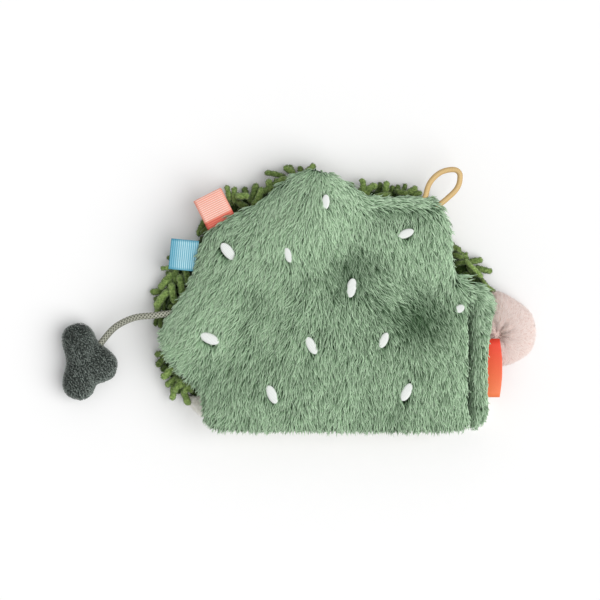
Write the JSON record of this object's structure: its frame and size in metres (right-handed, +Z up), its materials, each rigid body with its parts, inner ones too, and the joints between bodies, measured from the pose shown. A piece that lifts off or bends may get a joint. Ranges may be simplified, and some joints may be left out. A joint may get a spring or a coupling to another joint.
{
  "type": "cloth book",
  "caption": "Soft cloth book with a plush back cover, padded leaves on a bound edge, sewn ribbon tabs, a hanging loop, a label, a stuffed bobble and a stuffed charm on a cord.",
  "frame": {"origin": "on the table, under the middle of the crease, on the front cover's outer face", "axes": "+X from the crease to the bound edge, +Y along the crease to the top of the pages, +Z up from the front cover to the back cover"},
  "size_m": [0.2486, 0.1377, 0.0297],
  "materials": {
    "sage_plush": "long pile",
    "olive_chenille": "thick chenille pile",
    "cream_fleece": "short fleece",
    "page_cotton": "plain weave",
    "wadding": "loose fibre",
    "crinkle_film": "thin film",
    "white_stitch": "satin stitch",
    "thread": "twisted thread",
    "blue_grosgrain": "ribbed ribbon",
    "coral_grosgrain": "ribbed ribbon",
    "gold_elastic": "covered elastic",
    "grey_cord": "braid",
    "charcoal_plush": "short pile",
    "pink_plush": "short pile",
    "label_satin": "satin"
  },
  "bodies": {
    "front_cover": {"front_chenille": "olive_chenille", "front_fleece": "cream_fleece", "front_wadding": "wadding", "front_lining": "page_cotton", "front_bound_margin": "page_cotton", "leaf_1_bound_margin": "page_cotton", "leaf_2_bound_margin": "page_cotton", "spine_plush": "sage_plush", "binding_thread": "thread", "bobble_cloth": "pink_plush", "bobble_stuffing": "wadding"},
    "leaf_1": {"leaf_1_lower_cloth": "page_cotton", "leaf_1_wadding": "wadding", "leaf_1_upper_cloth": "page_cotton", "leaf_1_hinge_tape": "page_cotton"},
    "leaf_2": {"leaf_2_lower_cloth": "page_cotton", "leaf_2_wadding": "wadding", "leaf_2_upper_cloth": "page_cotton", "leaf_2_hinge_tape": "page_cotton"},
    "back_cover": {"back_lining": "page_cotton", "back_crinkle_film": "crinkle_film", "back_wadding": "wadding", "back_plush": "sage_plush", "grain_01": "white_stitch", "grain_02": "white_stitch", "grain_03": "white_stitch", "grain_04": "white_stitch", "grain_05": "white_stitch", "grain_06": "white_stitch", "grain_07": "white_stitch", "grain_08": "white_stitch", "grain_09": "white_stitch", "grain_10": "white_stitch", "grain_11": "white_stitch"},
    "blue_tab": {"blue_tab_ribbon": "blue_grosgrain"},
    "coral_tab": {"coral_tab_ribbon": "coral_grosgrain"},
    "hanging_loop": {"hanging_elastic": "gold_elastic"},
    "charm_cord": {"charm_cord_braid": "grey_cord"},
    "charm": {"charm_lower_cloth": "charcoal_plush", "charm_upper_cloth": "charcoal_plush", "charm_stuffing": "wadding"},
    "label": {"side_label": "label_satin"}
  },
  "joints": [
    {"name": "leaf_1_turn", "type": "hinge", "parent": "front_cover", "child": "leaf_1", "pos_m": [0, 0, 0.0249], "axis": [0, 1, 0], "range_deg": [0, 180]},
    {"name": "leaf_2_turn", "type": "hinge", "parent": "leaf_1", "child": "leaf_2", "pos_m": [0, 0, 0.0249], "axis": [0, 1, 0], "range_deg": [0, 180]},
    {"name": "back_cover_open", "type": "hinge", "parent": "leaf_2", "child": "back_cover", "pos_m": [0, 0, 0.0249], "axis": [0, 1, 0], "range_deg": [0, 180]},
    {"name": "blue_tab_flap", "type": "hinge", "parent": "back_cover", "child": "blue_tab", "pos_m": [-0.14338, 0.02341, 0.02025], "axis": [0.0945, 0.9955, 0], "range_deg": [0, 90]},
    {"name": "coral_tab_flap", "type": "hinge", "parent": "back_cover", "child": "coral_tab", "pos_m": [-0.12978, 0.04053, 0.02025], "axis": [0.893, 0.45, 0], "range_deg": [0, 90]},
    {"name": "hanging_loop_flap", "type": "hinge", "parent": "back_cover", "child": "hanging_loop", "pos_m": [-0.01955, 0.05239, 0.02025], "axis": [0.8448, -0.5351, 0], "range_deg": [0, 90]},
    {"name": "charm_swing", "type": "hinge", "parent": "back_cover", "child": "charm_cord", "pos_m": [-0.15413, -0.00627, 0.02025], "axis": [0, 0, 1], "range_deg": [-30, 30]},
    {"name": "charm_turn", "type": "hinge", "parent": "charm_cord", "child": "charm", "pos_m": [-0.19273, -0.02133, 0.0075], "axis": [0, 0, 1], "range_deg": [-35, 35]},
    {"name": "label_flap", "type": "hinge", "parent": "front_cover", "child": "label", "pos_m": [0.0098, -0.035, 0.0144], "axis": [0, -1, 0], "range_deg": [0, 75]}
  ]
}
